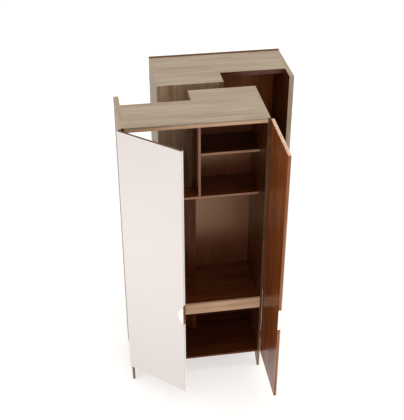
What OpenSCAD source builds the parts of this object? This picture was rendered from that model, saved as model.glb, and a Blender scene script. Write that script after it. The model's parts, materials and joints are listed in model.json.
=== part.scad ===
// Two-unit wardrobe. Each unit has an L-shaped plan: a deep part and a shallow part whose
// back forms a notch. The back unit is the same carcass turned half a circle, so the deep
// part of one can fill the notch of the other. Front of a unit is -Y, origin of a unit is
// the floor under its front left corner; the model's origin is the front left floor glide.

/* [Unit] */
// Width of one unit across its front
unit_w = 910; // [760:1:1100]
// Height of one unit from the floor to its top face
unit_h = 2000; // [1700:1:2400]
// Depth of the deep part
deep_d = 450; // [380:1:560]
// Depth of the shallow part
shallow_d = 308; // [260:1:330]
// Width of the deep part, outside
deep_w = 437; // [360:1:480]
// How far the long side panel stops short of the deep part's back
long_side_short = 16; // [0:1:30]
// Thickness of a carcass board
board_t = 16; // [15:1:19]
// Thickness of the top board
top_t = 32; // [25:1:40]
// Thickness of the wall beside the notch
notch_wall_t = 26; // [16:1:32]
// Thickness of the back panel behind the shallow part
thin_back_t = 6; // [3:1:8]

/* [Inside] */
// How far the shelves and the divider stand back from the front
shelf_setback = 186; // [100:1:200]
// Height of the main shelf's upper face
main_shelf_z = 1366; // [1200:1:1450]
// Height of the small shelf's upper face
small_shelf_z = 1684; // [1550:1:1800]
// Height of the deck's upper face
deck_z = 625; // [450:1:760]
// Height of the deck, seen at its fascia
deck_h = 82; // [60:1:110]
// Radius of a shelf pin
shelf_pin_r = 2.5; // [2:0.5:3]
// Length of a shelf pin
shelf_pin_l = 16; // [12:1:20]
// Depth to which a shelf pin goes into the board
shelf_pin_in = 8; // [6:1:10]
// Distance of a shelf pin from the shelf's front or rear edge
shelf_pin_inset = 36; // [20:1:50]
// Radius of a wooden dowel
dowel_r = 4; // [3:0.5:5]
// Length of a wooden dowel
dowel_l = 32; // [26:1:36]
// Depth to which a dowel goes into a side panel
dowel_in = 12; // [8:1:13]
// Distance of a dowel from the edge of its board
dowel_inset = 34; // [25:1:50]

/* [Feet] */
// Height of the carcass above the floor
foot_h = 138; // [100:1:170]
// Depth of a blade foot where it meets the carcass
foot_top_d = 190; // [60:1:210]
// Depth of a blade foot at its tip
foot_tip_d = 12; // [12:1:30]
// Height of a floor glide
glide_h = 3; // [2:0.5:6]
// Radius of a floor glide
glide_r = 5; // [4:0.5:6]

/* [Doors] */
// Thickness of a door's core board
door_core_t = 16; // [15:1:19]
// Thickness of a door's white front skin
door_skin_t = 4; // [2:0.5:6]
// Gap between a closed door and the carcass, where the hinge leaves lie
door_gap = 2.6; // [2.6:0.1:4]
// Gap between the free edges of two closed doors
door_meet = 3.2; // [2:0.1:8]
// How far a door's top edge lies below the front unit's top face
door_drop = 7; // [2:1:20]
// How far a door's bottom edge lies above the carcass's underside
door_rise = 8; // [2:1:12]
// How far the back unit's doors hang higher than the front unit's
back_door_lift = 12; // [0:1:14]
// Opening angle of the front unit's left door as shown
front_left_open = 41.6; // [0:0.1:110]
// Opening angle of the front unit's right door as shown
front_right_open = 89.5; // [0:0.1:110]

/* [Pulls] */
// Height of a pull's middle
pull_z = 804; // [700:1:1100]
// Length of a pull's edge plate
pull_l = 156; // [120:1:180]
// Radius of a pull's half-moon
pull_r = 67; // [55:1:80]
// Width of a pull's half-moon
pull_w = 40; // [25:1:50]
// Thickness of the half-moon
pull_t = 4; // [3:0.5:6]
// Thickness of the edge plate, let into the door's free edge
pull_edge_t = 1.5; // [1:0.1:2]
// Width of the lip on the door's inner face
pull_lip_w = 8; // [5:1:15]
// Thickness of that lip
pull_lip_t = 1.2; // [1:0.1:2]

/* [Hinges] */
// How far the hinge axis lies inside the side panel's outer face
hinge_in = 0.65; // [0:0.05:0.65]
// Number of hinges on a door
hinge_n = 3; // [2:1:4]
// Height of one hinge
hinge_h = 72; // [60:1:90]
// Distance from a door's end to the middle of its end hinge
hinge_inset = 150; // [100:1:250]
// Width of a hinge leaf on its board
leaf_w = 14; // [10:1:15]
// Thickness of a hinge leaf
leaf_t = 1.1; // [0.8:0.1:1.1]
// Radius of the hinge barrel
barrel_r = 2.5; // [2.2:0.1:3]
// Radius of the hinge pin
pin_r = 1.2; // [1:0.1:1.4]
// Radial clearance between pin and barrel
pin_clear = 0.05; // [0.03:0.01:0.08]
// Gap between neighbouring knuckles, and round the barrel in its pockets
knuckle_gap = 0.3; // [0.3:0.1:0.5]
// Length of a pin outside its barrel at each end
pin_over = 1; // [0.5:0.5:2]

/* [Bumpers] */
// Radius of a door bumper
bumper_r = 3; // [2:0.5:4]
// Gap between a bumper and the closed door
bumper_gap = 0.3; // [0.2:0.1:0.5]
// Distance of a bumper from the middle of the unit
bumper_x = 70; // [40:5:150]

/* [Placing] */
// Sideways offset of the back unit
back_x = 284; // [36:1:500]
// Clear distance between the two deep parts
unit_gap = 92; // [20:1:400]

/* [Hidden] */
$fn = 64;

// Colours
outside_wood = "#ad9c86";
inside_wood = "#5a3524";
edge_wood = "#aa8165";
white = "#e9e4e2";
steel = "#b9b4ad";
dark_plastic = "#3a3632";
clear_plastic = "#b08c70";
beech = "#c9a877";

// Plan of a unit
inner_l = 2 * board_t;                     // inner face of the doubled side
inner_r = unit_w - board_t;                // inner face of the single side
notch_x = unit_w - deep_w;                 // outer face of the wall beside the notch
notch_in = notch_x + notch_wall_t;         // inner face of that wall
long_side_d = deep_d - long_side_short;
deep_inner_d = deep_d - board_t;           // inner face of the deep back
shallow_inner_d = shallow_d - thin_back_t; // inner face of the shallow back

// Heights
floor_z = foot_h + board_t;                // upper face of the bottom board
ceil_z = unit_h - top_t;                   // lower face of the top board
main_under_z = main_shelf_z - board_t;
small_under_z = small_shelf_z - board_t;
deck_under_z = deck_z - deck_h;
top_mid_z = unit_h - top_t / 2;
bottom_mid_z = foot_h + board_t / 2;

// Doors, drawn closed at the left side of a unit
door_w = (unit_w - door_meet) / 2;
door_t = door_core_t + door_skin_t;
door_z0 = foot_h + door_rise;
door_z1 = unit_h - door_drop;
door_h = door_z1 - door_z0;
bore_r = pin_r + pin_clear;
pin_x = hinge_in;                          // hinge axis, just inside the side's outer face
pin_y = -door_gap / 2;                     // and midway between carcass and door
pocket_r = barrel_r + knuckle_gap;         // pockets in side and door that clear the barrel
leaf_x = pin_x + pocket_r;                 // where a leaf starts, past its pocket
knuckle_h = hinge_h / 3;

// Every hinge's lower end
hinge_zs = [for (i = [0 : hinge_n - 1])
  door_z0 + hinge_inset - hinge_h / 2 + i * (door_h - 2 * hinge_inset) / (hinge_n - 1)];

// Dowels in the ends of the boards, as y and z: left ends in the liner, right ends in the side
left_dowels = [for (z = [top_mid_z, bottom_mid_z]) each
    [[dowel_inset, z], [shallow_inner_d - dowel_inset, z]],
  [shelf_setback + dowel_inset, main_shelf_z - board_t / 2],
  [shallow_inner_d - dowel_inset, main_shelf_z - board_t / 2],
  [board_t + dowel_inset, deck_z - board_t / 2],
  [shallow_inner_d - dowel_inset, deck_z - board_t / 2]];
right_dowels = [for (z = [top_mid_z, bottom_mid_z]) each
    [[dowel_inset, z], [deep_inner_d - dowel_inset, z]],
  [shelf_setback + dowel_inset, main_shelf_z - board_t / 2],
  [deep_inner_d - dowel_inset, main_shelf_z - board_t / 2],
  [board_t + dowel_inset, deck_z - board_t / 2],
  [deep_inner_d - dowel_inset, deck_z - board_t / 2]];

// Small shelf's pins, as y
shelf_pin_ys = [shelf_setback + shelf_pin_inset, deep_inner_d - shelf_pin_inset];
shelf_pin_z = small_under_z - shelf_pin_r;

// A box from one corner to the opposite one
module board(low, high) translate(low) cube(high - low);

// An L-shaped board: full width to shallow_y, then only the deep part from deep_x to deep_y
module l_board(front_y, shallow_y, deep_x, deep_y, z0, z1)
  translate([0, 0, z0]) linear_extrude(z1 - z0)
    polygon([[inner_l, front_y], [inner_r, front_y], [inner_r, deep_y], [deep_x, deep_y],
             [deep_x, shallow_y], [inner_l, shallow_y]]);

// Round stock along X, centred on x
module x_rod(x, y, z, r, l) translate([x - l / 2, y, z]) rotate([0, 90, 0]) cylinder(r = r, h = l);

module mirrored() translate([unit_w, 0, 0]) mirror([1, 0, 0]) children();

module dowel_set() {
  for (p = left_dowels) x_rod(inner_l - dowel_in + dowel_l / 2, p[0], p[1], dowel_r, dowel_l);
  for (p = right_dowels) x_rod(inner_r + dowel_in - dowel_l / 2, p[0], p[1], dowel_r, dowel_l);
}

module shelf_pin_set(r) {
  for (y = shelf_pin_ys) {
    x_rod(notch_in + board_t - shelf_pin_in + shelf_pin_l / 2, y, shelf_pin_z, r, shelf_pin_l);
    x_rod(inner_r + shelf_pin_in - shelf_pin_l / 2, y, shelf_pin_z, r, shelf_pin_l);
  }
}

// Carcass boards
module side_long(lift) color(outside_wood) difference() {
  board([0, 0, foot_h], [board_t, long_side_d, unit_h]);
  translate([0, 0, lift]) hinge_pockets();
}

module side_liner() color(inside_wood) difference() {
  board([board_t, 0, foot_h], [inner_l, long_side_d, unit_h]);
  dowel_set();
}

module side_deep(lift) color(outside_wood) difference() {
  board([inner_r, 0, foot_h], [unit_w, deep_inner_d, unit_h]);
  dowel_set();
  shelf_pin_set(shelf_pin_r);
  mirrored() translate([0, 0, lift]) hinge_pockets();
}

module notch_wall() color(outside_wood)
  board([notch_x, shallow_d, floor_z], [notch_in, deep_inner_d, ceil_z]);

module top_board() color(outside_wood) difference() {
  l_board(0, shallow_d, notch_x, deep_inner_d, ceil_z, unit_h);
  dowel_set();
}

module bottom_board() color(inside_wood) difference() {
  l_board(0, shallow_d, notch_x, deep_inner_d, foot_h, floor_z);
  dowel_set();
}

// Lies over the rear edges of the other boards, so its grain runs to the very top
module back_deep() color(outside_wood)
  board([notch_x, deep_inner_d, foot_h], [unit_w, deep_d, unit_h]);

module back_shallow() color(inside_wood)
  board([inner_l, shallow_inner_d, floor_z], [notch_in, shallow_d, main_under_z]);

module divider() color(inside_wood) difference() {
  board([notch_in, shelf_setback, main_shelf_z], [notch_in + board_t, deep_inner_d, ceil_z]);
  shelf_pin_set(shelf_pin_r);
}

module small_shelf() color(inside_wood)
  board([notch_in + board_t, shelf_setback, small_under_z], [inner_r, deep_inner_d, small_shelf_z]);

module main_shelf() color(inside_wood) difference() {
  l_board(shelf_setback, shallow_d, notch_in, deep_inner_d, main_under_z, main_shelf_z);
  dowel_set();
}

module deck_top() color(inside_wood) difference() {
  l_board(board_t, shallow_inner_d, notch_in, deep_inner_d, deck_z - board_t, deck_z);
  dowel_set();
}

module deck_under() color(inside_wood)
  l_board(board_t, shallow_inner_d, notch_in, deep_inner_d, deck_under_z, deck_under_z + board_t);

module deck_fascia() color(edge_wood)
  board([inner_l, 0, deck_under_z], [inner_r, board_t, deck_z]);

module dowels() color(beech) dowel_set();

module shelf_pins() color(steel) shelf_pin_set(shelf_pin_r);

// Feet: blades in line with the side panels, upright on their outer edge
module blade(x, y, dir) translate([x, y, 0]) rotate([90, 0, 90]) linear_extrude(board_t)
  polygon([[0, glide_h], [dir * foot_tip_d, glide_h], [dir * foot_top_d, foot_h], [0, foot_h]]);

module glide(x, y, dir) translate([x + board_t / 2, y + dir * foot_tip_d / 2, 0])
  cylinder(r = glide_r, h = glide_h);

// Each foot's low X face, upright edge and the way it tapers from there
foot_places = [[0, 0, 1], [inner_r, 0, 1], [0, long_side_d, -1], [inner_r, deep_d, -1],
               [notch_x, shallow_d, -1]];

module feet() color(edge_wood) for (p = foot_places) blade(p[0], p[1], p[2]);

module glides() color(dark_plastic) for (p = foot_places) glide(p[0], p[1], p[2]);

// Hinges, at the left side of a unit
module knuckle(z0, z1, plate_y) {
  translate([pin_x, pin_y, z0]) cylinder(r = barrel_r, h = z1 - z0);
  board([pin_x, plate_y, z0], [leaf_x, plate_y + leaf_t, z1]);
}

module hinge_bore(z) translate([pin_x, pin_y, z - pin_over]) cylinder(r = bore_r, h = hinge_h + 2 * pin_over);

module hinge_pockets() for (z = hinge_zs)
  translate([pin_x, pin_y, z - pin_over - knuckle_gap])
    cylinder(r = pocket_r, h = hinge_h + 2 * (pin_over + knuckle_gap));

module fixed_leaf(z) difference() {
  union() {
    board([leaf_x, -leaf_t, z], [leaf_w, 0, z + hinge_h]);
    knuckle(z, z + knuckle_h - knuckle_gap, -leaf_t);
    knuckle(z + 2 * knuckle_h + knuckle_gap, z + hinge_h, -leaf_t);
  }
  hinge_bore(z);
}

module door_leaf(z) difference() {
  union() {
    board([leaf_x, -door_gap, z], [leaf_w, -door_gap + leaf_t, z + hinge_h]);
    knuckle(z + knuckle_h, z + 2 * knuckle_h, -door_gap);
  }
  hinge_bore(z);
}

module hinge_pin(z) translate([pin_x, pin_y, z - pin_over]) cylinder(r = pin_r, h = hinge_h + 2 * pin_over);

module both_sides() {
  children();
  mirrored() children();
}

module hinge_leaves(lift) color(steel) translate([0, 0, lift])
  both_sides() for (z = hinge_zs) fixed_leaf(z);

module hinge_pins(lift) color(steel) translate([0, 0, lift])
  both_sides() for (z = hinge_zs) hinge_pin(z);

module bumpers() color(clear_plastic) both_sides()
  for (z = [top_mid_z, deck_z - deck_h / 2])
    translate([unit_w / 2 - bumper_x, 0, z]) rotate([90, 0, 0])
      cylinder(r = bumper_r, h = door_gap - bumper_gap);

// Doors, closed at the left side of a unit
module door_core() color(inside_wood) difference() {
  board([0, -door_gap - door_core_t, door_z0], [door_w, -door_gap, door_z1]);
  hinge_pockets();
  pull_rebate();
}

module door_skin() color(white) difference() {
  board([0, -door_gap - door_t, door_z0], [door_w, -door_gap - door_core_t, door_z1]);
  pull_rebate();
}

module door_leaves() color(steel) for (z = hinge_zs) door_leaf(z);

// Half-moon on the outer face, plate let into the free edge and lip on the inner face
module pull() color(steel) translate([door_w, -door_gap, pull_z]) {
  translate([0, -door_t, 0]) rotate([90, 0, 0]) linear_extrude(pull_t) intersection() {
    translate([pull_r - pull_w, 0]) circle(r = pull_r, $fn = 128);
    translate([-pull_w, -pull_l / 2]) square([pull_w, pull_l]);
  }
  board([-pull_edge_t, -door_t - pull_t, -pull_l / 2], [0, pull_lip_t, pull_l / 2]);
  board([-pull_lip_w, 0, -pull_l / 2], [0, pull_lip_t, pull_l / 2]);
}

// The rebate in a door's free edge that the pull's plate lies in
module pull_rebate() translate([door_w, -door_gap, pull_z])
  board([-pull_edge_t, -door_t - pull_t, -pull_l / 2], [pull_edge_t, pull_lip_t, pull_l / 2]);

// Placing
module at_front() translate([-board_t / 2, -foot_tip_d / 2, 0]) children();

module at_back() at_front() translate([back_x + unit_w, 2 * deep_d + unit_gap, 0])
  rotate([0, 0, 180]) children();

// A left door swung open about its hinge axis by the angle a
module swung(a) translate([pin_x, pin_y, 0]) rotate([0, 0, -a]) translate([-pin_x, -pin_y, 0])
  children();

module front_left() at_front() swung(front_left_open) children();
module front_right() at_front() mirrored() swung(front_right_open) children();
module back_left() at_back() translate([0, 0, back_door_lift]) children();
module back_right() at_back() translate([0, 0, back_door_lift]) mirrored() children();

// Front unit
at_front() side_long(0);  // front_side_long
at_front() side_liner();  // front_side_liner
at_front() side_deep(0);  // front_side_deep
at_front() notch_wall();  // front_notch_wall
at_front() top_board();  // front_top_board
at_front() bottom_board();  // front_bottom_board
at_front() back_deep();  // front_back_deep
at_front() back_shallow();  // front_back_shallow
at_front() divider();  // front_divider
at_front() small_shelf();  // front_small_shelf
at_front() main_shelf();  // front_main_shelf
at_front() deck_top();  // front_deck_top
at_front() deck_under();  // front_deck_under
at_front() deck_fascia();  // front_deck_fascia
at_front() feet();  // front_feet
at_front() glides();  // front_glides
at_front() hinge_leaves(0);  // front_hinge_leaves
at_front() hinge_pins(0);  // front_hinge_pins
at_front() bumpers();  // front_bumpers
at_front() shelf_pins();  // front_shelf_pins
at_front() dowels();  // front_dowels
front_left() door_core();  // front_left_door_core
front_left() door_skin();  // front_left_door_skin
front_left() pull();  // front_left_pull
front_left() door_leaves();  // front_left_door_leaves
front_right() door_core();  // front_right_door_core
front_right() door_skin();  // front_right_door_skin
front_right() pull();  // front_right_pull
front_right() door_leaves();  // front_right_door_leaves

// Back unit
at_back() side_long(back_door_lift);  // back_side_long
at_back() side_liner();  // back_side_liner
at_back() side_deep(back_door_lift);  // back_side_deep
at_back() notch_wall();  // back_notch_wall
at_back() top_board();  // back_top_board
at_back() bottom_board();  // back_bottom_board
at_back() back_deep();  // back_back_deep
at_back() back_shallow();  // back_back_shallow
at_back() divider();  // back_divider
at_back() small_shelf();  // back_small_shelf
at_back() main_shelf();  // back_main_shelf
at_back() deck_top();  // back_deck_top
at_back() deck_under();  // back_deck_under
at_back() deck_fascia();  // back_deck_fascia
at_back() feet();  // back_feet
at_back() glides();  // back_glides
at_back() hinge_leaves(back_door_lift);  // back_hinge_leaves
at_back() hinge_pins(back_door_lift);  // back_hinge_pins
at_back() bumpers();  // back_bumpers
at_back() shelf_pins();  // back_shelf_pins
at_back() dowels();  // back_dowels
back_left() door_core();  // back_left_door_core
back_left() door_skin();  // back_left_door_skin
back_left() pull();  // back_left_pull
back_left() door_leaves();  // back_left_door_leaves
back_right() door_core();  // back_right_door_core
back_right() door_skin();  // back_right_door_skin
back_right() pull();  // back_right_pull
back_right() door_leaves();  // back_right_door_leaves
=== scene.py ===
# %% [markdown]
# # A wardrobe of two L-shaped units
# This lesson dresses a finished CAD model in materials and light. The boards, doors and hinges
# come from the frame with their true sizes, so nothing is measured or placed by eye, and no piece
# is made anew. What Blender adds is the grain of the laminate, the lacquer, the metal and the
# soft arrises, and the light that shows them.

# %% Load the frame
import json
import math
from collections import namedtuple

import bpy
from mathutils import Matrix, Vector


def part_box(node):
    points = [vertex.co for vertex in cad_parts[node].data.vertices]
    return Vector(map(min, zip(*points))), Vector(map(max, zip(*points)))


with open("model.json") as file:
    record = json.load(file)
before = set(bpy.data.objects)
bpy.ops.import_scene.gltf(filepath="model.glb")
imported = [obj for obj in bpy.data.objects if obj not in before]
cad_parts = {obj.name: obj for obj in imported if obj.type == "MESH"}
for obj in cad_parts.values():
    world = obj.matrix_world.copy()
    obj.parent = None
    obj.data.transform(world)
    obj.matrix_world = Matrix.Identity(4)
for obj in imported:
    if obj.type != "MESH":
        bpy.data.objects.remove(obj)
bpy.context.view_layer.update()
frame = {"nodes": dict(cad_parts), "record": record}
NODES = frame["nodes"]
print("loaded", len(NODES), "CAD pieces")

# %% [markdown]
# ## Where each door hangs
# Grain must follow its own board. The boards of the carcass lie along the axes, but a door may be
# stored swung open, so its grain has to turn with it. The hinge in the record says about which
# line and how far the door was opened. Taking both from there keeps the grain right if the
# stored angle ever changes, which typing the angle again would not.

# %% How each door is turned from closed
JOINTS = {joint["child"]: joint for joint in frame["record"]["behaviour"]["joints"]}


def door_hang(body):
    """The matrix that takes a stored door back to its closed place."""
    joint = JOINTS[body]
    pivot = Vector(joint["pos_m"])
    closed = math.radians(joint["range_deg"][0])
    turn = Matrix.Rotation(closed, 4, Vector(joint["axis"]))
    return Matrix.Translation(pivot) @ turn @ Matrix.Translation(-pivot)


for body in [name for name in JOINTS if name.endswith("door")]:
    print(body, "opened by", -JOINTS[body]["range_deg"][0], "degrees")

# %% [markdown]
# ## Helpers for nodes
# A material is a graph. Written out in full, each node takes three or four lines, which hides
# the idea. The first helper adds a node, sets its options and feeds its sockets, where a value may
# be a number or another node's output, so that each line below reads as one step of the recipe.
# The others are built on it, for the two things that every material here needs.

# %% Add shader nodes
def add(tree, kind, inputs=None, **options):
    """One node with its options set and its sockets fed."""
    made = tree.nodes.new(kind)
    for key, value in options.items():
        setattr(made, key, value)
    for key, value in (inputs or {}).items():
        if isinstance(value, bpy.types.NodeSocket):
            tree.links.new(value, made.inputs[key])
        else:
            made.inputs[key].default_value = value
    return made


def math_node(tree, operation, *values):
    """The result of one sum, product or comparison."""
    return add(tree, "ShaderNodeMath", dict(enumerate(values)), operation=operation).outputs[0]


def new_material(name):
    """A material with its node tree and its main shader."""
    material = bpy.data.materials.new(name)
    material.use_nodes = True
    return material, material.node_tree, material.node_tree.nodes["Principled BSDF"]


print("helpers:", ", ".join(helper.__name__ for helper in (add, math_node, new_material)))

# %% [markdown]
# ## Blending two values
# The Mix node holds separate sockets for numbers and for colours under the same names, so a name
# can't tell them apart and a socket is chosen by its number. Two small functions keep those
# numbers in one place.

# %% Mix two colours or two numbers
SHARE = 0
FIRST_NUMBER, SECOND_NUMBER, NUMBER_RESULT = 2, 3, 0
FIRST_COLOUR, SECOND_COLOUR, COLOUR_RESULT = 6, 7, 2


def mix_colours(tree, share, first, second):
    return add(tree, "ShaderNodeMix", {SHARE: share, FIRST_COLOUR: first, SECOND_COLOUR: second},
               data_type="RGBA").outputs[COLOUR_RESULT]


def mix_numbers(tree, share, first, second):
    return add(tree, "ShaderNodeMix", {SHARE: share, FIRST_NUMBER: first, SECOND_NUMBER: second},
               data_type="FLOAT").outputs[NUMBER_RESULT]


print("a Mix node takes colours at sockets", FIRST_COLOUR, "and", SECOND_COLOUR)

# %% [markdown]
# ## Display colours
# A paint is easiest to judge as a display shows it, in steps from 0 to 255, but shaders reckon in
# amounts of light. Typing amounts of light would work as well, but a dark brown is hard to
# imagine from them, so the colours below are display colours and one function turns them over.

# %% From display colour to light
def srgb(red, green, blue):
    """An eight-bit display colour as the linear colour that shaders use."""
    def linear(value):
        value /= 255
        return value / 12.92 if value <= 0.04045 else ((value + 0.055) / 1.055) ** 2.4
    return (linear(red), linear(green), linear(blue), 1.0)


print("a display grey of 128 is", round(srgb(128, 128, 128)[0], 3), "to a shader")

# %% [markdown]
# ## Wood figure
# The laminate is printed with a straight-grained wood. It has three scales: broad bands a few
# centimetres wide, growth lines a few millimetres wide that drift sideways, and fine fibres. Short
# dark pores lie over them. An image texture could hold this, but a node recipe stays sharp at any
# distance and never repeats. The trick is to squeeze the coordinates along the grain, so that
# round noise becomes long streaks.

# %% The scales of the figure
Streak = namedtuple("Streak", "squeeze scale detail distortion")
BANDS_STREAK = Streak(0.10, 16, 3, 0.6)
LINES_STREAK = Streak(0.045, 75, 5, 0.3)
FIBRES_STREAK = Streak(0.02, 420, 3, 0.0)
PORES_STREAK = Streak(0.035, 900, 2, 0.0)
FIGURE_SHARES = {BANDS_STREAK: 0.45, LINES_STREAK: 0.38, FIBRES_STREAK: 0.17}
STREAK_ROUGHNESS = 0.6
FIGURE_RANGE = (0.36, 0.64)  # noise keeps near its middle, so this range is stretched to 0..1
PORE_RANGE = (0.60, 0.72)    # only the peaks of the noise become pores
print("the shares of the figure add up to", round(sum(FIGURE_SHARES.values()), 3))

# %% [markdown]
# ## The figure as a node group
# The three layers are added in their shares, and the sum is stretched to the full range from 0 to
# 1. The group gives the figure and the pores as numbers and not as colours, so that each finish
# can colour them in its own way.

# %% The shared wood figure
def wood_figure():
    """A node group that turns a place along the grain into figure and pores."""
    group = bpy.data.node_groups.new("wood figure", "ShaderNodeTree")
    face = group.interface
    face.new_socket("Along grain", in_out="INPUT", socket_type="NodeSocketVector")
    face.new_socket("Figure", in_out="OUTPUT", socket_type="NodeSocketFloat")
    face.new_socket("Pores", in_out="OUTPUT", socket_type="NodeSocketFloat")
    start = group.nodes.new("NodeGroupInput")
    end = group.nodes.new("NodeGroupOutput")

    def noise(streak):
        squeezed = add(group, "ShaderNodeMapping", {"Vector": start.outputs[0],
                       "Scale": (streak.squeeze, 1, 1)})
        return add(group, "ShaderNodeTexNoise", {"Vector": squeezed.outputs[0],
                   "Scale": streak.scale, "Detail": streak.detail,
                   "Distortion": streak.distortion, "Roughness": STREAK_ROUGHNESS}).outputs[0]

    def stretched(value, lowest, highest):
        return add(group, "ShaderNodeMapRange", {"Value": value, "From Min": lowest,
                   "From Max": highest}).outputs[0]

    mixed = 0.0
    for streak, share in FIGURE_SHARES.items():
        mixed = math_node(group, "MULTIPLY_ADD", noise(streak), share, mixed)
    group.links.new(stretched(mixed, *FIGURE_RANGE), end.inputs[0])
    group.links.new(stretched(noise(PORES_STREAK), *PORE_RANGE), end.inputs[1])
    return group


WOOD = wood_figure()
print("wood figure has", len(WOOD.nodes), "nodes")

# %% [markdown]
# ## The colours of the finishes
# A board has one printed grain but more than one colour: greige outside the wardrobe, brown
# inside, and a band of another brown on some edges. Some finishes paint shade or light instead:
# the side greige and the darker bold greige paint shade on outer faces, the cocoa front edge of
# the right side paints its shade, and the white door band paints a highlight. A finish is three
# shades of one colour, for the dark lines, the body and the light lines of the figure, and a
# roughness. A ramp through the three gives every board the same figure in its own colour.

# %% Shades and roughness of each finish
Finish = namedtuple("Finish", "dark body light roughness")
FINISHES = {
    "greige": Finish(srgb(141, 124, 103), srgb(159, 142, 120), srgb(172, 156, 134), 0.48),
    # Greige darkened to paint the shade on the outer side faces.
    "painted shade side greige": Finish(srgb(116, 101, 83), srgb(132, 117, 98), srgb(144, 130, 111), 0.50),
    # A greige with a stronger figure, made darker to paint the shade on the back unit's block.
    "bold greige with painted shade": Finish(srgb(74, 55, 36), srgb(130, 107, 82), srgb(164, 141, 114), 0.55),
    "umber": Finish(srgb(50, 22, 9), srgb(84, 41, 18), srgb(108, 57, 28), 0.36),
    "walnut": Finish(srgb(88, 42, 17), srgb(120, 63, 29), srgb(143, 80, 40), 0.34),
    "back wall": Finish(srgb(90, 44, 22), srgb(104, 53, 28), srgb(114, 62, 34), 0.32),
    "cocoa": Finish(srgb(64, 49, 36), srgb(86, 68, 52), srgb(102, 83, 65), 0.45),
    "nut": Finish(srgb(112, 70, 44), srgb(138, 92, 62), srgb(154, 108, 78), 0.45),
    "tan": Finish(srgb(184, 143, 111), srgb(208, 168, 135), srgb(222, 185, 152), 0.45),
    "rose": Finish(srgb(142, 102, 80), srgb(176, 132, 108), srgb(194, 152, 126), 0.45),
    "foot oak": Finish(srgb(96, 76, 54), srgb(126, 104, 80), srgb(148, 127, 101), 0.50),
    # The white finish is a painted highlight for the bright free edge of the left door.
    "white": Finish(srgb(248, 245, 243), srgb(252, 249, 247), srgb(253, 251, 250), 0.35),
}
RAMP_START, RAMP_MIDDLE, RAMP_END = 0.05, 0.5, 0.95


def finish_colour(tree, figure, pores, finish):
    """The figure in the shades of a finish, with its pores in the darkest one."""
    shades = FINISHES[finish]
    ramp = add(tree, "ShaderNodeValToRGB", {0: figure})
    stops = ramp.color_ramp.elements
    stops[0].position, stops[0].color = RAMP_START, shades.dark
    stops[1].position, stops[1].color = RAMP_END, shades.light
    stops.new(RAMP_MIDDLE).color = shades.body
    return mix_colours(tree, pores, ramp.outputs[0], shades.dark)


print("finishes:", ", ".join(FINISHES))

# %% [markdown]
# ## The shine of the finishes
# The brown laminate has a satin coat whose reflections look warm, because the print shows through
# them, and the back wall is the glossiest board. These values are the same all over a board, so
# they go straight onto the shader's sockets and not through other nodes.

# %% Shine of a body finish
Shine = namedtuple("Shine", "specular_level ior tint relief")
PLAIN_SHINE = Shine(0.35, 1.5, (1.0, 1.0, 1.0, 1.0), 0.25)
SHINES = {
    "umber": Shine(0.26, 1.5, (1.0, 0.58, 0.38, 1.0), 0.25),
    "walnut": Shine(0.22, 1.5, (1.0, 0.55, 0.34, 1.0), 0.25),
    "back wall": Shine(0.70, 1.9, (1.0, 0.66, 0.43, 1.0), 0.05),
}
print("with a shine of their own:", ", ".join(SHINES))

# %% [markdown]
# ## Which way a face looks
# A board changes its finish where its faces turn a corner. Splitting the mesh there would break
# it off from the CAD, so the material looks at which way a face points and picks the finish. The
# direction is read in the board's own space, and so it stays put when a door swings.

# %% The place and direction of a point on its board
FACING_LIMIT = 0.7  # cosine of the widest angle at which a face still looks along an axis


def board_space(tree, hang):
    """Place and direction of a point, where hang turns a stored door back to closed."""
    where = add(tree, "ShaderNodeTexCoord")
    place, normal = where.outputs["Object"], where.outputs["Normal"]
    if hang is not None:
        turn = hang.to_euler()
        place = add(tree, "ShaderNodeMapping", {"Vector": place, "Rotation": turn,
                    "Location": hang.translation}).outputs[0]
        normal = add(tree, "ShaderNodeMapping", {"Vector": normal, "Rotation": turn},
                     vector_type="NORMAL").outputs[0]
    return place, normal


def facing(tree, normal, axis, sign):
    """1 where the face looks along that axis, and 0 elsewhere."""
    parts = add(tree, "ShaderNodeSeparateXYZ", {0: normal})
    return math_node(tree, "GREATER_THAN" if sign > 0 else "LESS_THAN",
                     parts.outputs["XYZ".index(axis)], FACING_LIMIT * sign)


def only_below(tree, place, mask, height):
    """That mask, but 0 above the height."""
    point_z = add(tree, "ShaderNodeSeparateXYZ", {0: place}).outputs["Z"]
    return math_node(tree, "MULTIPLY", mask, math_node(tree, "LESS_THAN", point_z, height))


print("a face may lean", round(math.degrees(math.acos(FACING_LIMIT))), "degrees from its axis")

# %% [markdown]
# ## A board's material
# Now the parts come together. The grain is laid along one axis and shifted by a different amount
# for each board, because two boards with the same figure would look printed. The figure then
# drives the colour, a little of the gloss and a shallow relief, as the press plate of a real
# laminate does.

# %% Grain, colour by face direction, gloss and relief
GRAIN_TURNS = {"X": (0, 0, 0), "Y": (0, 0, math.pi / 2), "Z": (0, math.pi / 2, 0)}
GRAIN_SHIFT = (1.0, 1.7, 0.6)
PORE_STRENGTH = 0.35
GLOSS_IN_FIGURE = -0.4
RELIEF_DEPTH = 0.0006


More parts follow.
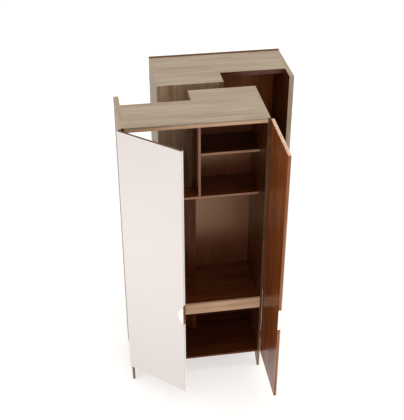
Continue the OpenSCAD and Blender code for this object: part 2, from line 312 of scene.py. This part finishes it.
def board_material(name, grain, body, faces=(), hang=None, offset=0.0):
    """faces lists (axis, sign, finish, below): where the board shows another finish than its
    body, from the height below downwards if that is given."""
    shine = SHINES.get(body, PLAIN_SHINE)
    material, tree, shader = new_material(name)
    place, normal = board_space(tree, hang)
    along = add(tree, "ShaderNodeMapping", {"Vector": place, "Rotation": GRAIN_TURNS[grain],
                "Location": [offset * share for share in GRAIN_SHIFT]})
    wood = add(tree, "ShaderNodeGroup", node_tree=WOOD)
    tree.links.new(along.outputs[0], wood.inputs[0])
    figure = wood.outputs[0]
    pores = math_node(tree, "MULTIPLY", wood.outputs[1], PORE_STRENGTH)
    colour, rough = finish_colour(tree, figure, pores, body), FINISHES[body].roughness
    for axis, sign, finish, *below in faces:
        mask = facing(tree, normal, axis, sign)
        if below:
            mask = only_below(tree, place, mask, below[0])
        colour = mix_colours(tree, mask, colour, finish_colour(tree, figure, pores, finish))
        rough = mix_numbers(tree, mask, rough, FINISHES[finish].roughness)
    gloss = math_node(tree, "MULTIPLY_ADD", figure, GLOSS_IN_FIGURE * shine.relief, rough)
    grooves = math_node(tree, "SUBTRACT", figure, pores)
    bump = add(tree, "ShaderNodeBump", {"Height": grooves, "Strength": shine.relief,
               "Distance": RELIEF_DEPTH})
    tree.links.new(colour, shader.inputs["Base Color"])
    tree.links.new(gloss, shader.inputs["Roughness"])
    tree.links.new(bump.outputs[0], shader.inputs["Normal"])
    shader.inputs["Specular IOR Level"].default_value = shine.specular_level
    shader.inputs["IOR"].default_value = shine.ior
    shader.inputs["Specular Tint"].default_value = shine.tint
    return material


print("the grain's relief is", RELIEF_DEPTH * 1000, "mm deep")

# %% [markdown]
# ## Dressing the carcass
# Each line of the table says which way a board's grain runs, its main finish, and the faces that
# differ. The directions are the front unit's. The back unit is the same carcass turned by half a
# circle, so there X and Y swap signs. One table with a sign is shorter than two, and a change to
# a board then reaches both units. The top's front edge is tan under a greige upper layer, so that
# face changes at a height.

# %% The boards of one unit
TOP_LAYER = 0.013
upper_layer_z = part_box("front_top_board")[1][2] - TOP_LAYER
BOARDS = {
    # The outer face of side_long takes the side greige, a greige darkened as painted shade.
    "side_long": ("Z", "greige", [("X", -1, "painted shade side greige")]),
    "side_liner": ("Z", "umber", [("Z", 1, "greige"), ("Y", 1, "greige")]),
    # The outer face of side_deep takes the side greige, a greige darkened as painted shade. Its
    # cocoa front edge is painted shade for the edge beside the open right door.
    "side_deep": ("Z", "umber", [("X", 1, "painted shade side greige"), ("Z", 1, "greige"), ("Y", -1, "cocoa")]),
    "notch_wall": ("Z", "umber", []),
    "top_board": ("X", "greige", [("Z", -1, "umber"), ("Y", -1, "tan", upper_layer_z),
                                  ("Y", 1, "umber")]),
    "bottom_board": ("X", "umber", []),
    # The outer faces of back_deep take the bold greige: a stronger figure, plus painted shade on
    # the block in the gap between the units.
    "back_deep": ("Z", "back wall", [("Z", 1, "greige"), ("Y", 1, "bold greige with painted shade"),
                                     ("X", 1, "bold greige with painted shade"), ("X", -1, "bold greige with painted shade")]),
    "back_shallow": ("Z", "umber", []),
    "divider": ("Z", "umber", [("Y", -1, "rose")]),
    "small_shelf": ("X", "umber", [("Y", -1, "rose")]),
    "main_shelf": ("X", "umber", [("Y", -1, "rose")]),
    "deck_top": ("X", "umber", []),
    "deck_under": ("X", "umber", []),
    "deck_fascia": ("X", "tan", []),
    "feet": ("Z", "foot oak", []),
}
print("a unit has", len(BOARDS), "kinds of board; its top turns tan below", round(upper_layer_z, 3))

# %% [markdown]
# ## One loop for both units
# The pieces of the two units have the same names after the unit's own, so one loop dresses them
# all. A material could be shared by like boards, but then their figure would match line for line.
# Each board gets its own, with the figure shifted a little further along.

# %% Give every board its material
BOARD_SHIFT = 0.83  # how far the figure moves from one board to the next


def wear(node, material):
    """Gives a CAD piece its finish."""
    mesh = NODES[node].data
    mesh.materials.clear()
    mesh.materials.append(material)


for unit, turned in (("front", 1), ("back", -1)):
    for count, (board, (grain, body, faces)) in enumerate(BOARDS.items()):
        node = f"{unit}_{board}"
        faces = [(axis, sign if axis == "Z" else sign * turned, *rest)
                 for axis, sign, *rest in faces]
        wear(node, board_material(node + " finish", grain, body, faces,
                                  offset=BOARD_SHIFT * count + turned))
print("dressed", 2 * len(BOARDS), "board pieces")

# %% [markdown]
# ## Door boards
# A door is a brown board with a thin band on each of its four edges. The front unit's left door
# has white upright bands, its right door nut-brown ones, and the back unit's are cocoa all round.
# The white of the left door's free edge is a painted highlight.
# In the closed place the bands look along X and Z, so the material first turns the door back to
# closed.

# %% The four door boards
DOOR_SHIFT, FIRST_DOOR_SHIFT = 3.1, 0.4
# The left door's white upright bands are a painted highlight on its free edge.
BANDS = {"front_left": ("white", "cocoa"), "front_right": ("nut", "tan"),
         "back_left": ("cocoa", "cocoa"), "back_right": ("cocoa", "cocoa")}
for count, (side, (upright, level)) in enumerate(BANDS.items()):
    hang = door_hang(side + "_door")
    bands = [("X", 1, upright), ("X", -1, upright), ("Z", 1, level), ("Z", -1, level)]
    wear(side + "_door_core", board_material(side + " door finish", "Z", "walnut", bands, hang,
                                             offset=DOOR_SHIFT * count + FIRST_DOOR_SHIFT))
print("dressed", len(BANDS), "door boards")

# %% [markdown]
# ## Plain finishes
# The front skin is sprayed with a satin lacquer. Sprayed paint is never quite even: it has a very
# fine orange peel, and a slightly uneven gloss. Both come from one weak noise, which drives the
# bump and the roughness, and a broad one drifts the colour between two close shades. A plain
# white would look like card. Metal and plastic need the same unevenness, so they share the recipe.

# %% A plain material with uneven gloss
BROAD_NOISE, FINE_NOISE = 0.1, 25  # shares of a material's own scale
NOISE_DETAIL = 2
PEEL_DEPTH = 0.0002


def plain_material(name, colour, other_colour, roughness, metallic=0.0, drift=0.03, scale=40,
                   relief=0.1, squeeze=(1, 1, 1)):
    """squeeze under 1 draws the noise out along that axis, as brushing or wood grain does."""
    material, tree, shader = new_material(name)
    where = add(tree, "ShaderNodeTexCoord")
    place = add(tree, "ShaderNodeMapping", {"Vector": where.outputs["Object"],
                "Scale": squeeze}).outputs[0]
    broad, fine = [add(tree, "ShaderNodeTexNoise", {"Vector": place, "Scale": scale * share,
                       "Detail": NOISE_DETAIL}).outputs[0] for share in (BROAD_NOISE, FINE_NOISE)]
    gloss = add(tree, "ShaderNodeMapRange", {"Value": fine, "To Min": roughness - drift,
                "To Max": roughness + drift})
    bump = add(tree, "ShaderNodeBump", {"Height": fine, "Strength": relief,
               "Distance": PEEL_DEPTH})
    tree.links.new(mix_colours(tree, broad, colour, other_colour), shader.inputs["Base Color"])
    tree.links.new(gloss.outputs[0], shader.inputs["Roughness"])
    tree.links.new(bump.outputs[0], shader.inputs["Normal"])
    shader.inputs["Metallic"].default_value = metallic
    return material


print("the orange peel is", PEEL_DEPTH * 1000, "mm deep")

# %% [markdown]
# ## Fronts, metal and small pieces
# The pulls are satin metal brushed upright. The hinges are plated in a dark bronze, so that they
# hide in the shadow beside the door. Bumpers, glides and dowels are hardly seen, but each still
# has its own stuff. A node's name ends in what it is, so one table dresses both units.

# %% Lacquer, metal, plastic and beech
LACQUER = plain_material("satin white lacquer", srgb(219, 210, 207), srgb(222, 214, 211), 0.32)
SATIN_METAL = plain_material("satin metal", srgb(246, 240, 232), srgb(250, 245, 238), 0.24,
                             metallic=1.0, scale=30, squeeze=(1, 1, 0.08))
BRONZE = plain_material("bronze plated steel", srgb(124, 82, 54), srgb(112, 74, 50), 0.50,
                        metallic=0.7)
CLEAR = plain_material("clear bumper plastic", srgb(172, 136, 108), srgb(180, 146, 118), 0.4)
DARK = plain_material("dark glide plastic", srgb(44, 42, 40), srgb(52, 49, 46), 0.55, relief=0.3)
BEECH = plain_material("beech dowel", srgb(196, 160, 112), srgb(176, 138, 92), 0.6,
                       squeeze=(0.1, 1, 1))
PLAIN = {"door_skin": LACQUER, "pull": SATIN_METAL, "leaves": BRONZE, "pins": BRONZE,
         "bumpers": CLEAR, "glides": DARK, "dowels": BEECH}
for ending, material in PLAIN.items():
    dressed = [node for node in NODES if node.endswith(ending)]
    for node in dressed:
        wear(node, material)
    print(len(dressed), "pieces in", material.name)

# %% [markdown]
# ## Soft arrises
# No real board has a knife edge: its arris is eased by about half a millimetre, and that line
# catches the light. The CAD mesh may not be changed, but a modifier may sit on it. Weld first
# joins the loose triangles, and then Bevel rounds every edge that turns by more than 30 degrees.

# %% Ease the arrises of boards, doors and pulls
JOIN_DISTANCE = 0.00001
BOARD_ARRIS, METAL_ARRIS = 0.0006, 0.0003
ARRIS_SEGMENTS = 2
SHARP_ANGLE = math.radians(30)

EASED = [node for node in NODES
         if node.split("_", 1)[1] in BOARDS or node.endswith(("door_core", "door_skin", "pull"))]
for node in EASED:
    piece = NODES[node]
    piece.modifiers.new("join corners", "WELD").merge_threshold = JOIN_DISTANCE
    ease = piece.modifiers.new("ease arrises", "BEVEL")
    ease.width = METAL_ARRIS if node.endswith("pull") else BOARD_ARRIS
    ease.segments = ARRIS_SEGMENTS
    ease.limit_method = "ANGLE"
    ease.angle_limit = SHARP_ANGLE
print("eased", len(EASED), "pieces")

# %% [markdown]
# ## Floor
# The wardrobe stands on a plain pale floor that fades into the backdrop. A plane so wide that its
# edge can't be made out needs no wall behind it. It glows a little, as a lit studio sweep does, so
# the soft shadows under the feet stay and the rest comes out nearly white.

# %% A pale floor that glows a little
FLOOR_SIZE = 1000
FLOOR_GLOW = 0.60
WARM_WHITE = (1.0, 0.99, 0.98, 1)

bpy.ops.mesh.primitive_plane_add(size=FLOOR_SIZE, location=(0, 0, 0))
floor = bpy.context.object
floor.name = "floor"
PALE = plain_material("pale floor", srgb(206, 202, 199), srgb(208, 204, 201), 0.7, scale=2,
                      relief=0.0)
glow = PALE.node_tree.nodes["Principled BSDF"]
glow.inputs["Emission Color"].default_value = WARM_WHITE
glow.inputs["Emission Strength"].default_value = FLOOR_GLOW
floor.data.materials.append(PALE)
print("the floor is", FLOOR_SIZE, "m wide")

# %% [markdown]
# ## Light
# A white world lights the wardrobe evenly from all round, like a light tent, but a tent alone
# looks flat. One large soft lamp overhead gives the tops their brightness. A small weak lamp at
# the left front, a little above half height, lifts the middle of the white door. Its light is
# slightly cool, to balance the warm light that the boards throw back.

# %% World and lamps
TENT_STRENGTH = 0.80
LAMPS = {
    "key": {"place": (0.9, -0.6, 6.0), "target": (0.5, 0.2, 1.0), "size": 3.0, "power": 75,
            "colour": (1.0, 0.98, 0.94)},
    "fill": {"place": (-0.75, -1.0, 1.25), "target": (0.15, -0.15, 1.2), "size": 0.5,
             "power": 3.4, "colour": (0.95, 1.0, 1.0)},
}

world = bpy.data.worlds.new("light tent")
bpy.context.scene.world = world
world.use_nodes = True
tent = world.node_tree.nodes["Background"]
tent.inputs["Color"].default_value = WARM_WHITE
tent.inputs["Strength"].default_value = TENT_STRENGTH


def soft_lamp(name, place, target, size, power, colour):
    data = bpy.data.lights.new(name, "AREA")
    data.shape, data.size, data.energy, data.color = "DISK", size, power, colour
    lamp = bpy.data.objects.new(name, data)
    lamp.location = place
    lamp.rotation_euler = (Vector(target) - Vector(place)).to_track_quat("-Z", "Y").to_euler()
    bpy.context.scene.collection.objects.link(lamp)


for name, settings in LAMPS.items():
    soft_lamp(name, **settings)
    print(name, "lamp of", settings["power"], "W")
bpy.context.scene.view_settings.view_transform = "Standard"

# %% [markdown]
# ## Camera
# The view is from high in front and a little to the left, so that the tops, the open doors and
# the inside all show. A long lens from far away keeps the upright edges nearly parallel, where a
# short one close by would make them lean.

# %% A long lens, high in front
LENS_MM, SENSOR_MM = 74.24, 36.0
CAMERA_PLACE = (-0.2299, -4.5116, 4.3703)
DOWN_DEGREES, RIGHT_DEGREES = 33.21, 9.02

lens = bpy.data.cameras.new("camera")
lens.lens, lens.sensor_width = LENS_MM, SENSOR_MM
camera = bpy.data.objects.new("camera", lens)
camera.location = CAMERA_PLACE
camera.rotation_euler = (math.radians(90 - DOWN_DEGREES), 0, math.radians(-RIGHT_DEGREES))
bpy.context.scene.collection.objects.link(camera)
bpy.context.scene.camera = camera
print("the camera looks", DOWN_DEGREES, "degrees down through a", LENS_MM, "mm lens")
